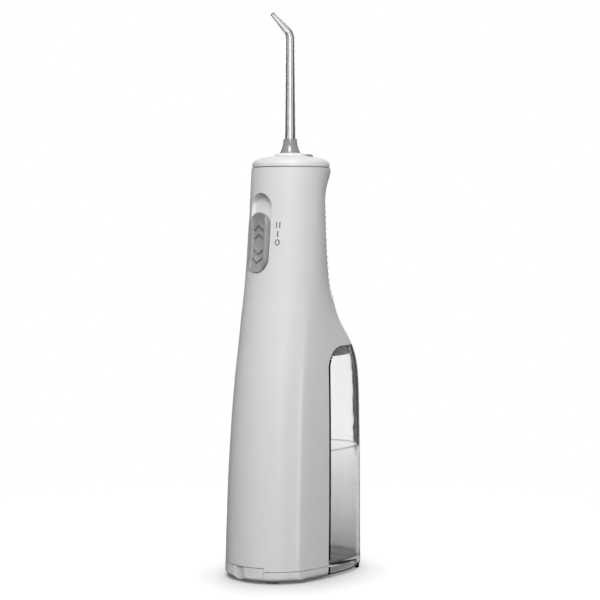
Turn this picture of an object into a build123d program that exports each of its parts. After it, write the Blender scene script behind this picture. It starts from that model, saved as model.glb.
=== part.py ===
from build123d import *
import math
import os

# Cordless water flosser: a white handle, a clear tank on its back and a clear jet tip on top.
# Everything below is in millimetres, measured from the jet tip's axis: x to the side, y to the
# back, z up from the surface the flosser stands on. When a piece is saved it moves along y, so
# that the origin of the finished part lies under the middle of the body.

# ---- overall shape of the handle and tank -----------------------------------------------------
BODY_FOOT = 1.0          # lowest face of the handle and tank, above the feet
BODY_TOP = 214.0         # rim of the handle, where the cap starts
WIDTH = 53.0             # widest place, near the foot
FRONT = 36.9             # tip axis to the front face at the foot
BACK = 44.1              # tip axis to the back of the tank
NECK_RADIUS = 20.75      # round rim of the handle
NECK_CENTRE = 0.6        # the rim's centre lies this far behind the tip axis
HANDLE_WALL = 2.2
FOOT_ROUND = 2.4
FOOT_ROUND_STEP = 0.1    # the foot's rounding gives way by this, at most this many times
FOOT_ROUND_STEPS = 15

# Sections up the body: height, half width, widest place, front, back (each a share of the size
# above it), and how square the back half is (2 is an ellipse).
SECTIONS = [
    (0.000, 1.000, -0.308, 1.000, 0.984, 2.50),
    (0.117, 0.990, -0.292, 0.976, 0.983, 2.50),
    (0.253, 0.970, -0.268, 0.941, 0.989, 2.45),
    (0.395, 0.938, -0.228, 0.884, 0.999, 2.35),
    (0.479, 0.911, -0.195, 0.838, 0.997, 2.25),
    (0.521, 0.896, -0.176, 0.809, 0.973, 2.20),
    (0.559, 0.880, -0.157, 0.781, 0.900, 2.15),
    (0.601, 0.862, -0.138, 0.753, 0.753, 2.10),
    (0.643, 0.845, -0.119, 0.724, 0.621, 2.05),
    (0.700, 0.823, -0.090, 0.681, 0.494, 2.00),
    (0.770, 0.801, -0.065, 0.643, 0.427, 2.00),
    (0.850, 0.786, -0.035, 0.605, 0.391, 2.00),
    (0.920, 0.779, -0.016, 0.578, 0.374, 2.00),
    (0.955, 0.780, -0.003, 0.566, 0.404, 2.00),
    (0.982, 0.782, 0.012, 0.554, 0.464, 2.00),
]
OUTLINE_POINTS = 20
LEVELS = 20

# ---- where the tank leaves the handle ---------------------------------------------------------
SPLIT_FOOT_Y = 2.6       # back face of the handle at the foot
SPLIT_TOP_Y = 5.6        # and under the arch, so the tank frees itself as it slides down
ARCH_RADIUS = 12.0
ARCH_TOP = 120.5         # underside of the handle's shoulder
TANK_GAP = 0.45
TANK_WALL = 1.9
TANK_FLOOR = 7.3         # inner floor of the tank
TANK_FLOOR_THICK = 1.9
FILL_LINE = 66.5
FILL_LINE_SIZE = 0.5
SEAL_HEIGHT = 5.2
SEAL_FIT = 0.3

# ---- battery door at the foot -----------------------------------------------------------------
SEAM = 6.4               # seam between the battery door and the handle
SEAM_GAP = 0.3
DOOR_FLOOR = 2.0
LATCH_HALF = 14.3        # half of the latch's width
LATCH_TOP = 8.0
LATCH_BACK = -30.2       # back face of the latch
LATCH_GAP = 0.4
SPRING_WELL = 1.9        # radius of the hole in the latch for its spring
SPRING_DEPTH = 3.6
LATCH_TRAVEL = 1.5
LATCH_THUMB = 8.2        # width of the scoop in the middle of the latch
LATCH_RIBS = 9
LATCH_SCOOP = 1.3
LATCH_RIB_PITCH = 0.95
LATCH_RIB_DEPTH = 0.3
LATCH_RIB_START = 1.2    # first groove's distance from the scoop
LATCH_RIB_CUT = 0.4
FOOT_X = 14.6
FOOT_Y = -26.3
FOOT_LENGTH = 7.0
FOOT_WIDTH = 4.0
REAR_FOOT_X = 14.0
HINGE_INSET = 1.45       # hinge pin's axis in front of the handle's back face
HINGE_Z = 2.3
HINGE_PIN = 0.8          # radius
HINGE_HALF = 21.0
HINGE_FIT = 0.05
HEEL = 1.55              # radius of the door's heel round the pin
LUG_X = 10.0
LUG_WIDTH = 4.0
LUG_GAP = 0.3
GASKET_INSET = 3.0
GASKET_WIDTH = 1.4
GASKET_TOP = 7.1

# ---- cap, jet tip and eject button ------------------------------------------------------------
CAP_STEP = 0.4
CAP_GAP = 0.5
CAP_EDGE = 0.9
CAP_SHOULDER = (18.3, BODY_TOP + 4.3)
CAP_SLOPE = (13.4, BODY_TOP + 5.6)
CAP_INNER = (8.6, BODY_TOP + 6.4)
CAP_TOP = BODY_TOP + 6.7
CAP_ROOF = BODY_TOP + 2.6
COLLAR_RADIUS = 7.8
COLLAR_TOP = BODY_TOP + 7.8
SKIRT = 3.5
SKIRT_WALL = 1.5
SKIRT_FIT = 1.25         # the neck's waist is narrower than its rim
CONE_FOOT = 5.3          # radius of the grey cone at the foot of the tip
CONE_TOP = 3.55
CONE_HEIGHT = 7.4
TIP_FOOT_RADIUS = 3.05
TIP_BEND_RADIUS = 2.4
TIP_END_RADIUS = 1.05
TIP_BORE = 0.95
TIP_END_BORE = 0.45
TIP_BEND_Z = COLLAR_TOP + 59.7
TIP_BEND = 6.0
TIP_LEAN = 54.0
TIP_REACH = 12.5
STEM_RADIUS = 3.0
STEM_LENGTH = 17.0
STEM_GROOVE = (BODY_TOP - 2.6, BODY_TOP - 0.8, 2.4)
SEAT_RADIUS = 4.6
SEAT_BORE = 3.5
SEAT_FIT = 0.08
SEAT_LOW = BODY_TOP - 0.2
FLANGE_RADIUS = 6.5
FLANGE_THICK = 1.6
OUTLET_LOW = BODY_TOP - 17.0
OUTLET_TOP = BODY_TOP - 3.0
OUTLET_RADIUS = 6.0
PORT_Z = BODY_TOP - 12.5
RING_WIRE = 0.5          # radius of the seal rings' section
RING_EASE = 0.02         # the rings are this much thinner than their grooves
LATCH_PLATE = (BODY_TOP - 2.3, BODY_TOP - 1.0)
LATCH_PLATE_HOLE = 4.9
BUTTON_FRONT = 8.6
BUTTON_BACK = 15.0
BUTTON_WIDTH = 8.0
BUTTON_TOP = COLLAR_TOP - 0.1
BUTTON_LIFT = 0.6        # underside of the button above the latch plate
BUTTON_EDGE = 0.7
BUTTON_FIT = 0.3
EJECT_SPRING_RADIUS = 1.8
EJECT_SPRING_WIRE = 0.25
EJECT_SPRING_TURNS = 4
EJECT_SPRING_DROP = 5.6
LATCH_PLATE_HALF = 6.5
LATCH_PLATE_ENDS = (-7.0, 8.0)

# ---- switch on the front ----------------------------------------------------------------------
SWITCH_LOW = BODY_TOP - 54.9
SWITCH_HIGH = BODY_TOP - 13.3
SWITCH_WIDTH = 15.0
SWITCH_DEPTH = 3.0
RECESS_ROUND = 1.8
SLIDER_LENGTH = 31.2
SLIDER_FIT = 0.35
SLIDER_PROUD = 1.1
SLIDER_TRAVEL = 9.2
DISH_DEPTH = 1.5
DISH_RIM = 2.1           # width of the rim left round the dish
CHEVRON_PLACES = ((9.8, 1), (5.2, 1), (-5.2, -1), (-9.8, -1))
CHEVRON_HALF = 1.85
CHEVRON_LEAN = 36.0
CHEVRON_LENGTH = 5.0
CHEVRON_WIDTH = 1.0
CHEVRON_SINK = 0.65      # tops of the marks below the dish's rim
POINTER = (0.7, 0.35)    # width and height of the pointer line on the slider's right edge
MAGNET_RADIUS = 2.5
MAGNET_THICK = 1.0

# ---- grip ribs on the back of the neck --------------------------------------------------------
RIBS = 17
RIB_LOW = BODY_TOP - 68.5
RIB_PITCH = 3.0
RIB_HEIGHT = 0.45
RIB_WIDTH = 1.5
RIB_SPREAD = 48.0        # degrees each side of the back

# ---- works inside -----------------------------------------------------------------------------
CELL_RADIUS = 7.25       # AA cells
CELL_LENGTH = 50.5
CELL_PITCH = 14.9
CELL_FOOT = 11.0
CELL_Y = -12.0
CELL_FIT = 0.25
CELL_NUB = (2.75, 1.2)
TRAY_FOOT = 7.3
TRAY_WALL = 0.6
INNER_FIT = 0.25         # the works stand this clear of the handle's inner wall
GEAR_MODULE = 0.5
PINION_TEETH = 10
GEAR_TEETH = 40
GEAR_Y = -3.0
GEAR_Z = 122.8
GEAR_THICK = 3.0
BACKLASH = 0.2
CRANK_THROW = 2.5
CRANK_PIN = 1.5
MOTOR_RADIUS = 10.0
MOTOR_LENGTH = 31.0
SHAFT_RADIUS = 1.0
PLATE_THICK = 2.0
FRAME_HALF = 21.0
FRAME_ENDS = (-17.0, -2.0)
FRAME_GAP = 14.0         # half of the space between the frame's legs
FRAME_BAND = 6.0
SCREW_X = 16.5
SCREW_Y = (-13.0, -6.0)
SCREW_RADIUS = 0.9
SCREW_HEAD = 1.8
SCREW_HEAD_HIGH = 1.2
YOKE_THICK = 2.6
PUMP_Z = 130.0
PUMP_RADIUS = 6.4
PUMP_BORE = 4.0
PUMP_START = 9.0
PUMP_END = 19.0
HEAD_END = 24.0
PISTON_LENGTH = 3.6
YOKE_HALF = 9.0
YOKE_WINDOW = 6.8
YOKE_SIDE = 9.0
ROD_RADIUS = 1.6
HOSE_RADIUS = 2.2
HOSE_BORE = 1.3
HOSE_Y = 11.0            # where the hose runs up the neck
SUCTION_FOOT = 12.0
BOARD_SIZE = (20.0, 46.0, 1.6)
BOARD_BEHIND = 7.4       # board's front face behind the switch plane
# Parts on the back of the board: across, along, width, length, height.
BOARD_PARTS = [(-4, 12, 6, 6, 1.5), (5, 6, 4, 4, 3.0), (3, -10, 8, 5, 2.2), (-6, -6, 3, 6, 1.8)]
REED_RADIUS = 0.8
REED_LENGTH = 10.0

# ---- values worked out from those above -------------------------------------------------------
HALF_WIDTH = WIDTH / 2
BODY_HEIGHT = BODY_TOP - BODY_FOOT
SHIFT_Y = (FRONT - BACK) / 2
ARCH_SPRING = ARCH_TOP - ARCH_RADIUS
GEAR_RADIUS = GEAR_MODULE * GEAR_TEETH / 2
PINION_RADIUS = GEAR_MODULE * PINION_TEETH / 2
MOTOR_Y = GEAR_Y - GEAR_RADIUS - PINION_RADIUS - 0.1
PLATE_Z = GEAR_Z - 1.6 - PLATE_THICK
CONE_Z = COLLAR_TOP + 0.15
TIP_FOOT_Z = CONE_Z + CONE_HEIGHT
CELL_TOP = CELL_FOOT + CELL_LENGTH
SUCTION_Y = (PUMP_END + HEAD_END) / 2
SEAL_FOOT = ARCH_TOP - SEAL_HEIGHT
STEM_RING_Z = COLLAR_TOP - STEM_LENGTH + 2.5
PISTON_START = (PUMP_START + PUMP_END) / 2 - PISTON_LENGTH / 2
FAR = 100.0


def rim_sizes():
    """The handle's rim, as shares like those in SECTIONS."""
    return (1.0, NECK_RADIUS / HALF_WIDTH, NECK_CENTRE / FRONT, (NECK_RADIUS - NECK_CENTRE) / FRONT,
            (NECK_RADIUS + NECK_CENTRE) / BACK, 2.0)


def body_sizes(share):
    """Sizes of the body's section at a share of its height, on a smooth curve through SECTIONS."""
    rows = SECTIONS + [rim_sizes()]
    share = min(max(share, 0.0), 1.0)
    k = 0
    while k < len(rows) - 2 and share > rows[k + 1][0]:
        k += 1
    low, high = rows[k], rows[k + 1]
    before, after = rows[max(k - 1, 0)], rows[min(k + 2, len(rows) - 1)]
    step = high[0] - low[0]
    t = (share - low[0]) / step
    sizes = []
    for i in range(1, 6):
        leave = (high[i] - before[i]) / (high[0] - before[0]) * step
        arrive = (after[i] - low[i]) / (after[0] - low[0]) * step
        sizes.append((2 * t**3 - 3 * t**2 + 1) * low[i] + (t**3 - 2 * t**2 + t) * leave
                     + (3 * t**2 - 2 * t**3) * high[i] + (t**3 - t**2) * arrive)
    return sizes


def outline(z, half_width, middle, front, back, square):
    """One closed section: the front half is an ellipse, the back half is squarer."""
    points = []
    for i in range(OUTLINE_POINTS):
        turn = 2 * math.pi * i / OUTLINE_POINTS
        side, depth = math.cos(turn), math.sin(turn)
        power = 2 / square if depth > 0 else 1.0
        reach = back - middle if depth > 0 else front + middle
        x = half_width * math.copysign(abs(side) ** power, side)
        y = middle + reach * math.copysign(abs(depth) ** power, depth)
        points.append((x, y, z))
    steps = [float(i) for i in range(OUTLINE_POINTS + 1)]
    return make_face(Edge.make_spline(points, periodic=True, parameters=steps))


def body_outline(z, inset=0.0):
    """The body's section at height z, made smaller all round by inset."""
    wide, middle, front, back, square = body_sizes((z - BODY_FOOT) / BODY_HEIGHT)
    return outline(z, HALF_WIDTH * wide - inset, FRONT * middle, FRONT * front - inset,
                   BACK * back - inset, square)


MADE = {}


def envelope(inset=0.0, overrun=0.0):
    """The whole body as one smooth solid, from the foot to the rim, made smaller by inset."""
    if (inset, overrun) not in MADE:
        sections = []
        for k in range(LEVELS + 1):
            share = k / LEVELS
            z = BODY_FOOT + BODY_HEIGHT * share
            lift = overrun if k == LEVELS else -overrun if k == 0 else 0.0
            sections.append(Pos(0, 0, lift) * body_outline(z, inset))
        MADE[(inset, overrun)] = loft(sections)
    return MADE[(inset, overrun)]


def slab(low, high):
    """All space between two heights."""
    return Pos(0, 0, (low + high) / 2) * Box(2 * FAR, 2 * FAR, high - low)


def block(x0, x1, y0, y1, z0, z1):
    """A box between two corners."""
    return Pos((x0 + x1) / 2, (y0 + y1) / 2, (z0 + z1) / 2) * Box(x1 - x0, y1 - y0, z1 - z0)


def rod(radius, low, high, x=0.0, y=0.0):
    """An upright cylinder."""
    return Pos(x, y, (low + high) / 2) * Cylinder(radius, high - low)


def rod_along_y(radius, start, end, z, x=0.0):
    """A cylinder along y."""
    return Pos(x, (start + end) / 2, z) * Rot(90, 0, 0) * Cylinder(radius, end - start)


def rod_along_x(radius, start, end, y, z):
    """A cylinder along x."""
    return Pos((start + end) / 2, y, z) * Rot(0, 90, 0) * Cylinder(radius, end - start)


def turned(points, y=0.0):
    """A solid of revolution about an upright axis, from (radius, height) points."""
    face = make_face(Polyline([(r, 0, z) for r, z in points], close=True))
    return Pos(0, y, 0) * revolve(face, Axis.Z)


def seal_ring(radius, z, wire=RING_WIRE):
    """An O-ring whose section is centred on a radius."""
    return Pos(0, 0, z) * Torus(radius, wire)


def coil(radius, wire, low, high, turns, x=0.0, y=0.0):
    """A coil spring standing on z, between two heights."""
    rise = high - low - 2 * wire
    path = Helix(pitch=rise / turns, height=rise, radius=radius)
    section = Plane(origin=path @ 0, z_dir=path % 0) * Circle(wire)
    return Pos(x, y, low + wire) * sweep(section, path=path)


def pipe(points, radii, radius, bore):
    """A hose along straight runs and arcs in the middle plane, from (y, z) points."""
    path = FilletPolyline([(0, y, z) for y, z in points], radius=radii)
    start = Plane(origin=path @ 0, z_dir=path % 0)
    return sweep(start * Circle(radius), path=path) - sweep(start * Circle(bore), path=path)


def wedge(half_angle, centre_y=0.0):
    """An upright wedge of space that opens towards the back."""
    reach = FAR * math.tan(math.radians(half_angle))
    corners = [(0, centre_y), (reach, centre_y + FAR), (-reach, centre_y + FAR)]
    return extrude(make_face(Polyline(corners, close=True)), 3 * FAR)


def back_face(z):
    """Distance behind the tip axis of the handle's back face, below the arch."""
    share = (z + FAR / 10) / (ARCH_SPRING + FAR / 10)
    return SPLIT_FOOT_Y + (SPLIT_TOP_Y - SPLIT_FOOT_Y) * share


def tank_space(margin):
    """The space behind the handle and under its shoulder, widened by margin into the handle."""
    face_low = (SPLIT_FOOT_Y - margin, -FAR / 10)
    face_high = (SPLIT_TOP_Y - margin, ARCH_SPRING)
    arch_y = SPLIT_TOP_Y + ARCH_RADIUS
    lean = math.sqrt(0.5) * (ARCH_RADIUS + margin)
    arch_middle = (arch_y - lean, ARCH_SPRING + lean)
    arch_end = (arch_y, ARCH_TOP + margin)
    edges = [
        Line(face_low, face_high),
        ThreePointArc(face_high, arch_middle, arch_end),
        Line(arch_end, (FAR, ARCH_TOP + margin)),
        Line((FAR, ARCH_TOP + margin), (FAR, -FAR / 10)),
        Line((FAR, -FAR / 10), face_low),
    ]
    return extrude(Plane.YZ * make_face(Wire(edges)), FAR / 2, both=True)


def rounded_body():
    """The body with its lower edge rounded, a little less where the edge won't take the radius."""
    foot = envelope().faces().sort_by(Axis.Z)[0]
    for step in range(FOOT_ROUND_STEPS):
        try:
            return fillet(foot.edges(), FOOT_ROUND - FOOT_ROUND_STEP * step)
        except ValueError:
            continue
    return envelope()


def cavity(low, high, inset=HANDLE_WALL + INNER_FIT):
    """The room inside the handle between two heights, clear of its walls."""
    return (envelope(inset, 2.0) & slab(low, high)) - tank_space(inset)


# The front of the neck is nearly straight, so the switch lies in a plane that leans with it.
def front_at(z):
    """Distance from the tip axis to the front face at height z."""
    return FRONT * body_sizes((z - BODY_FOOT) / BODY_HEIGHT)[2]


SWITCH_RISE = SWITCH_HIGH - SWITCH_LOW
SWITCH_LEAN = math.atan2(front_at(SWITCH_LOW) - front_at(SWITCH_HIGH), SWITCH_RISE)
SWITCH_LENGTH = SWITCH_RISE / math.cos(SWITCH_LEAN)
SWITCH_PLANE = Plane(origin=(0, -(front_at(SWITCH_LOW) + front_at(SWITCH_HIGH)) / 2,
                             (SWITCH_LOW + SWITCH_HIGH) / 2),
                     x_dir=(1, 0, 0), z_dir=(0, -math.cos(SWITCH_LEAN), math.sin(SWITCH_LEAN)))
SLIDER_PLACE = SLIDER_FIT - (SWITCH_LENGTH - SLIDER_LENGTH) / 2


def capsule(length, width, low, high, along=0.0):
    """A capsule block on the switch plane, from low to high above that plane."""
    shape = SlotOverall(length, width, rotation=90)
    return SWITCH_PLANE * (Pos(0, along, low) * extrude(shape, high - low))


def outward(shape):
    """Faces of a piece on the switch plane, from the deepest to the outermost."""
    return shape.faces().sort_by(Axis(SWITCH_PLANE.origin, SWITCH_PLANE.z_dir))


def switch_recess():
    """The scooped hollow that the slider runs in."""
    shape = capsule(SWITCH_LENGTH, SWITCH_WIDTH, -SWITCH_DEPTH, SWITCH_WIDTH)
    return fillet(outward(shape)[0].edges(), RECESS_ROUND)


def grip_ribs():
    """Low soft ribs across the back of the neck, moulded on to the handle."""
    zone = slab(RIB_LOW - 1, RIB_LOW + RIB_PITCH * RIBS) & wedge(RIB_SPREAD)
    band = (envelope(-RIB_HEIGHT, 1.0) & zone) - envelope()
    feet = [RIB_LOW + RIB_PITCH * i for i in range(RIBS)]
    return Compound([band & slab(z, z + RIB_WIDTH) for z in feet])


def latch_space(margin, travel):
    """The room round the latch at the front of the foot."""
    reach = LATCH_HALF + margin
    return block(-reach, reach, -FAR, LATCH_BACK + travel + margin, -FAR, LATCH_TOP + margin)


def front_surface(x):
    """Where the front of the foot lies, at a distance x from the middle."""
    wide, middle, front, _, _ = body_sizes(0)
    reach = FRONT * (front + middle)
    return FRONT * middle - reach * math.sqrt(1 - (x / (HALF_WIDTH * wide)) ** 2)


def hinge_lugs():
    """Two lugs under the handle's back wall that hold the hinge pin."""
    y = back_face(HINGE_Z) - HINGE_INSET
    lugs = Part()
    for x in (-LUG_X, LUG_X):
        side = LUG_WIDTH / 2
        lug = block(x - side, x + side, y - HINGE_PIN - 0.5, y + HINGE_PIN + 0.5, HINGE_Z, SEAM + 2)
        lug = lug + rod_along_x(HINGE_PIN + 0.5, x - side, x + side, y, HINGE_Z)
        lugs = lugs + (lug - rod_along_x(HINGE_PIN, x - side, x + side, y, HINGE_Z))
    return lugs


def housing():
    """The white handle: one sleeve with the switch hollow, the shoulder and the hinge lugs."""
    hollow = envelope(HANDLE_WALL, 2.0) - tank_space(HANDLE_WALL)
    shell = (rounded_body() - tank_space(0)) - hollow
    backing = capsule(SWITCH_LENGTH + 2 * HANDLE_WALL, SWITCH_WIDTH + 2 * HANDLE_WALL,
                      -SWITCH_DEPTH - HANDLE_WALL, SWITCH_WIDTH)
    shell = shell + (backing & envelope())
    shell = shell - switch_recess() - slab(-FAR, SEAM + SEAM_GAP / 2)
    shell = shell - latch_space(LATCH_GAP, LATCH_TRAVEL)
    shell = shell - rod(HOSE_RADIUS, ARCH_TOP - 5, ARCH_TOP + 5, 0, SUCTION_Y)
    return shell + hinge_lugs()


def battery_door():
    """The shallow white cup that closes the foot."""
    shell = (rounded_body() & slab(0, SEAM - SEAM_GAP / 2)) - tank_space(0)
    shell = shell - cavity(BODY_FOOT + DOOR_FLOOR, SEAM, HANDLE_WALL)
    shell = shell - latch_space(LATCH_GAP, LATCH_TRAVEL)
    stop = LATCH_BACK + LATCH_TRAVEL + LATCH_GAP
    shell = shell + block(-6, 6, stop, stop + 1.5, BODY_FOOT + DOOR_FLOOR / 2, SEAM - SEAM_GAP / 2)
    y = back_face(HINGE_Z) - HINGE_INSET
    heel = block(-FAR, FAR, y, FAR, 0, HINGE_Z) - rod_along_x(HEEL, -FAR, FAR, y, HINGE_Z)
    room = LUG_WIDTH / 2 + LUG_GAP
    for x in (-LUG_X, LUG_X):
        shell = shell - block(x - room, x + room, y - HEEL - LUG_GAP, FAR, 0, SEAM)
    return shell - heel - rod_along_x(HINGE_PIN + HINGE_FIT, -HINGE_HALF, HINGE_HALF, y, HINGE_Z)


def door_hinge_pin():
    """Steel pin through the handle's lugs and the door's heel."""
    y = back_face(HINGE_Z) - HINGE_INSET
    return rod_along_x(HINGE_PIN, -HINGE_HALF + 0.3, HINGE_HALF - 0.3, y, HINGE_Z)


def door_gasket():
    """Rubber strip round the door's floor, which closes against the cell tray."""
    low = BODY_FOOT + DOOR_FLOOR
    ring = cavity(low, GASKET_TOP, GASKET_INSET)
    ring = ring - cavity(low - 1, GASKET_TOP + 1, GASKET_INSET + GASKET_WIDTH)
    return ring - latch_space(2 * LATCH_GAP, LATCH_TRAVEL)


def door_latch():
    """The latch: a thumb scoop between two ribbed pads."""
    latch = rounded_body() & latch_space(0, 0) & slab(BODY_FOOT, LATCH_TOP)
    scoop_radius = LATCH_THUMB * 1.2
    latch = latch - rod(scoop_radius, 0, 2 * LATCH_TOP, 0, -FRONT + LATCH_SCOOP - scoop_radius)
    cuts = []
    for side in (-1, 1):
        for i in range(LATCH_RIBS):
            x = side * (LATCH_THUMB / 2 + LATCH_RIB_START + LATCH_RIB_PITCH * i)
            floor = front_surface(x) + LATCH_RIB_DEPTH
            half = LATCH_RIB_CUT / 2
            cuts.append(block(x - half, x + half, -FAR, floor, BODY_FOOT + 1.2, LATCH_TOP - 0.8))
    well = rod_along_y(SPRING_WELL, LATCH_BACK - SPRING_DEPTH, LATCH_BACK + 1, SEAM - SPRING_WELL)
    return latch - cuts - well


def latch_spring():
    """Small coil between the latch and the door."""
    length = SPRING_DEPTH + LATCH_TRAVEL + LATCH_GAP
    spring = coil(SPRING_WELL - 0.45, 0.25, 0, length, 4)
    return Pos(0, LATCH_BACK - SPRING_DEPTH, SEAM - SPRING_WELL) * Rot(-90, 0, 0) * spring


def door_feet():
    """Two low pads under the front of the door."""
    feet = []
    for side in (-1, 1):
        pad = Pos(side * FOOT_X, FOOT_Y, 0) * Rot(0, 0, side * 35) * extrude(
            SlotOverall(FOOT_LENGTH, FOOT_WIDTH), BODY_FOOT)
        feet.append(pad)
    return Compound(feet)


def reservoir():
    """The clear tank: a tall cup with its mouth under the handle's shoulder."""
    outer = rounded_body() & tank_space(-TANK_GAP)
    inset = TANK_GAP + TANK_WALL
    inner = envelope(TANK_WALL, 4.0) & tank_space(-inset)
    mouth = envelope(TANK_WALL, 4.0) & slab(SEAL_FOOT - SEAL_FIT, ARCH_TOP + 1)
    shell = outer - (inner & slab(TANK_FLOOR, ARCH_TOP)) - mouth
    shell = shell - (inner & slab(-FAR, TANK_FLOOR - TANK_FLOOR_THICK))
    line = slab(FILL_LINE - FILL_LINE_SIZE / 2, FILL_LINE + FILL_LINE_SIZE / 2)
    shell = shell - (line - envelope(FILL_LINE_SIZE / 2, 4.0))
    feet = (envelope(0.6, 2.0) - envelope(TANK_WALL - 0.1, 4.0)) & slab(0, BODY_FOOT + 1.0)
    for side in (-1, 1):
        room = block(side * REAR_FOOT_X - 3, side * REAR_FOOT_X + 3, BACK / 2, FAR, 0, 5)
        shell = shell + (feet & room)
    return shell


def reservoir_seal():
    """Black rubber plug under the shoulder that the tank's mouth slides over."""
    plug = extrude(body_outline(ARCH_TOP - TANK_GAP, TANK_WALL + SEAL_FIT), 10, dir=(0, 0, -1))
    plug = plug & tank_space(0) & slab(SEAL_FOOT, ARCH_TOP)
    waist = extrude(body_outline(ARCH_TOP - TANK_GAP, TANK_WALL + SEAL_FIT + 0.6), 10, dir=(0, 0, -1))
    groove = slab(SEAL_FOOT + SEAL_HEIGHT * 0.4, SEAL_FOOT + SEAL_HEIGHT * 0.55) - waist
    return plug - groove - rod(HOSE_RADIUS, 100, 140, 0, SUCTION_Y)


def button_shape(margin, low, high):
    """The eject button's outline, round at the back."""
    half = BUTTON_WIDTH / 2 + margin
    tail = BUTTON_BACK - BUTTON_WIDTH / 2
    front = block(-half, half, BUTTON_FRONT - margin, tail, low, high)
    round_back = rod(half, low, high, 0, tail) & block(-half, half, tail, FAR, low, high)
    return front + round_back


def top_cap():
    """The white cap: a low dome with the collar that the tip stands in."""
    radius = NECK_RADIUS - CAP_STEP
    low = BODY_TOP + CAP_GAP
    side_top = (radius, low + CAP_EDGE)
    slope = Spline([side_top, CAP_SHOULDER, CAP_SLOPE, CAP_INNER, (0, CAP_TOP)], tangents=[(0, 1), (-1, 0)])
    profile = [Line((0, low), (radius, low)), Line((radius, low), side_top), slope,
               Line((0, CAP_TOP), (0, low))]
    dome = Pos(0, NECK_CENTRE, 0) * revolve(Plane.XZ * make_face(Wire(profile)), Axis.Z)
    skirt_radius = NECK_RADIUS - HANDLE_WALL - SKIRT_FIT
    skirt = rod(skirt_radius, BODY_TOP - SKIRT, low + 0.5, 0, NECK_CENTRE)
    collar = turned([(0, CAP_ROOF), (COLLAR_RADIUS, CAP_ROOF), (COLLAR_RADIUS, COLLAR_TOP - 0.5),
                     (COLLAR_RADIUS - 0.5, COLLAR_TOP), (0, COLLAR_TOP)])
    cap = dome + skirt + collar
    cap = cap - rod(skirt_radius - SKIRT_WALL, BODY_TOP - SKIRT - 1, CAP_ROOF, 0, NECK_CENTRE)
    cap = cap - rod(SEAT_RADIUS + SEAT_FIT, CAP_ROOF - 1, COLLAR_TOP + 1)
    return cap - (button_shape(BUTTON_FIT, CAP_ROOF - 1, COLLAR_TOP + 5))


def eject_button():
    """The button behind the tip; its foot pushes the latch plate forwards."""
    button = button_shape(0, LATCH_PLATE[1] + BUTTON_LIFT, BUTTON_TOP)
    return fillet(button.faces().sort_by(Axis.Z)[-1].edges(), BUTTON_EDGE)


def eject_spring():
    """Coil that lifts the eject button."""
    low = LATCH_PLATE[0] - EJECT_SPRING_DROP
    return coil(EJECT_SPRING_RADIUS, EJECT_SPRING_WIRE, low, LATCH_PLATE[1] + BUTTON_LIFT - 0.1,
                EJECT_SPRING_TURNS, 0, BUTTON_BACK - 3.4)


def tip_latch():
    """Sliding plate whose hole grips the groove in the tip's stem."""
    low, high = LATCH_PLATE
    plate = block(-LATCH_PLATE_HALF, LATCH_PLATE_HALF, *LATCH_PLATE_ENDS, low, high)
    return plate - rod(LATCH_PLATE_HOLE, low - 1, high + 1)


def tip_seat():
    """The seat that turns in the cap with the tip."""
    top = COLLAR_TOP - 0.3
    seat = rod(SEAT_RADIUS, SEAT_LOW, top) + rod(FLANGE_RADIUS, SEAT_LOW, SEAT_LOW + FLANGE_THICK)
    return seat - rod(SEAT_BORE, SEAT_LOW - 1, top + 1)


def outlet_block():
    """Fixed cup that the tip's stem seals in, with a port for the hose at the back."""
    cup = rod(OUTLET_RADIUS, OUTLET_LOW, OUTLET_TOP)
    cup = cup + rod_along_y(HOSE_RADIUS + 1.2, 0, OUTLET_RADIUS + 1.5, PORT_Z)
    cup = cup - rod(STEM_RADIUS + RING_WIRE, COLLAR_TOP - STEM_LENGTH - 1.0, OUTLET_TOP + 1)
    cup = cup - rod(HOSE_BORE, PORT_Z, OUTLET_TOP)
    cup = cup - rod_along_y(HOSE_BORE, 0, OUTLET_RADIUS + 4, PORT_Z)
    return cup - rod_along_y(HOSE_RADIUS, OUTLET_RADIUS, OUTLET_RADIUS + 4, PORT_Z)


def tip_path():
    """The jet tip's bend: an arc forwards, then a short straight end."""
    lean = math.radians(TIP_LEAN)
    half = lean / 2
    start = (0, 0, TIP_BEND_Z)
    middle = (0, -TIP_BEND * (1 - math.cos(half)), TIP_BEND_Z + TIP_BEND * math.sin(half))
    turn = (0, -TIP_BEND * (1 - math.cos(lean)), TIP_BEND_Z + TIP_BEND * math.sin(lean))
    end = (0, turn[1] - TIP_REACH * math.sin(lean), turn[2] + TIP_REACH * math.cos(lean))
    return Wire([ThreePointArc(start, middle, turn), Line(turn, end)])


def along_tip(first, last):
    """A round bar along the bend, from one radius to another."""
    path = tip_path()
    sections = []
    for k in range(5):
        share = k / 4
        place = Plane(origin=path @ share, z_dir=path % share)
        sections.append(place * Circle(first + (last - first) * share))
    return sweep(sections, path=path, multisection=True)


def jet_tip():
    """The clear jet tip: stem, tapered tube, bend and nozzle, bored right through."""
    foot = COLLAR_TOP - STEM_LENGTH
    low, high, neck = STEM_GROOVE
    tip = turned([(0, foot), (STEM_RADIUS, foot), (STEM_RADIUS, low), (neck, low), (neck, high),
                  (STEM_RADIUS, high), (TIP_FOOT_RADIUS, TIP_FOOT_Z), (TIP_BEND_RADIUS, TIP_BEND_Z),
                  (0, TIP_BEND_Z)])
    tip = tip + along_tip(TIP_BEND_RADIUS, TIP_END_RADIUS)
    tip = tip - seal_ring(STEM_RADIUS, STEM_RING_Z)
    bore = rod(TIP_BORE, foot - 1, TIP_BEND_Z)
    return tip - bore - along_tip(TIP_BORE, TIP_END_BORE)


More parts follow.
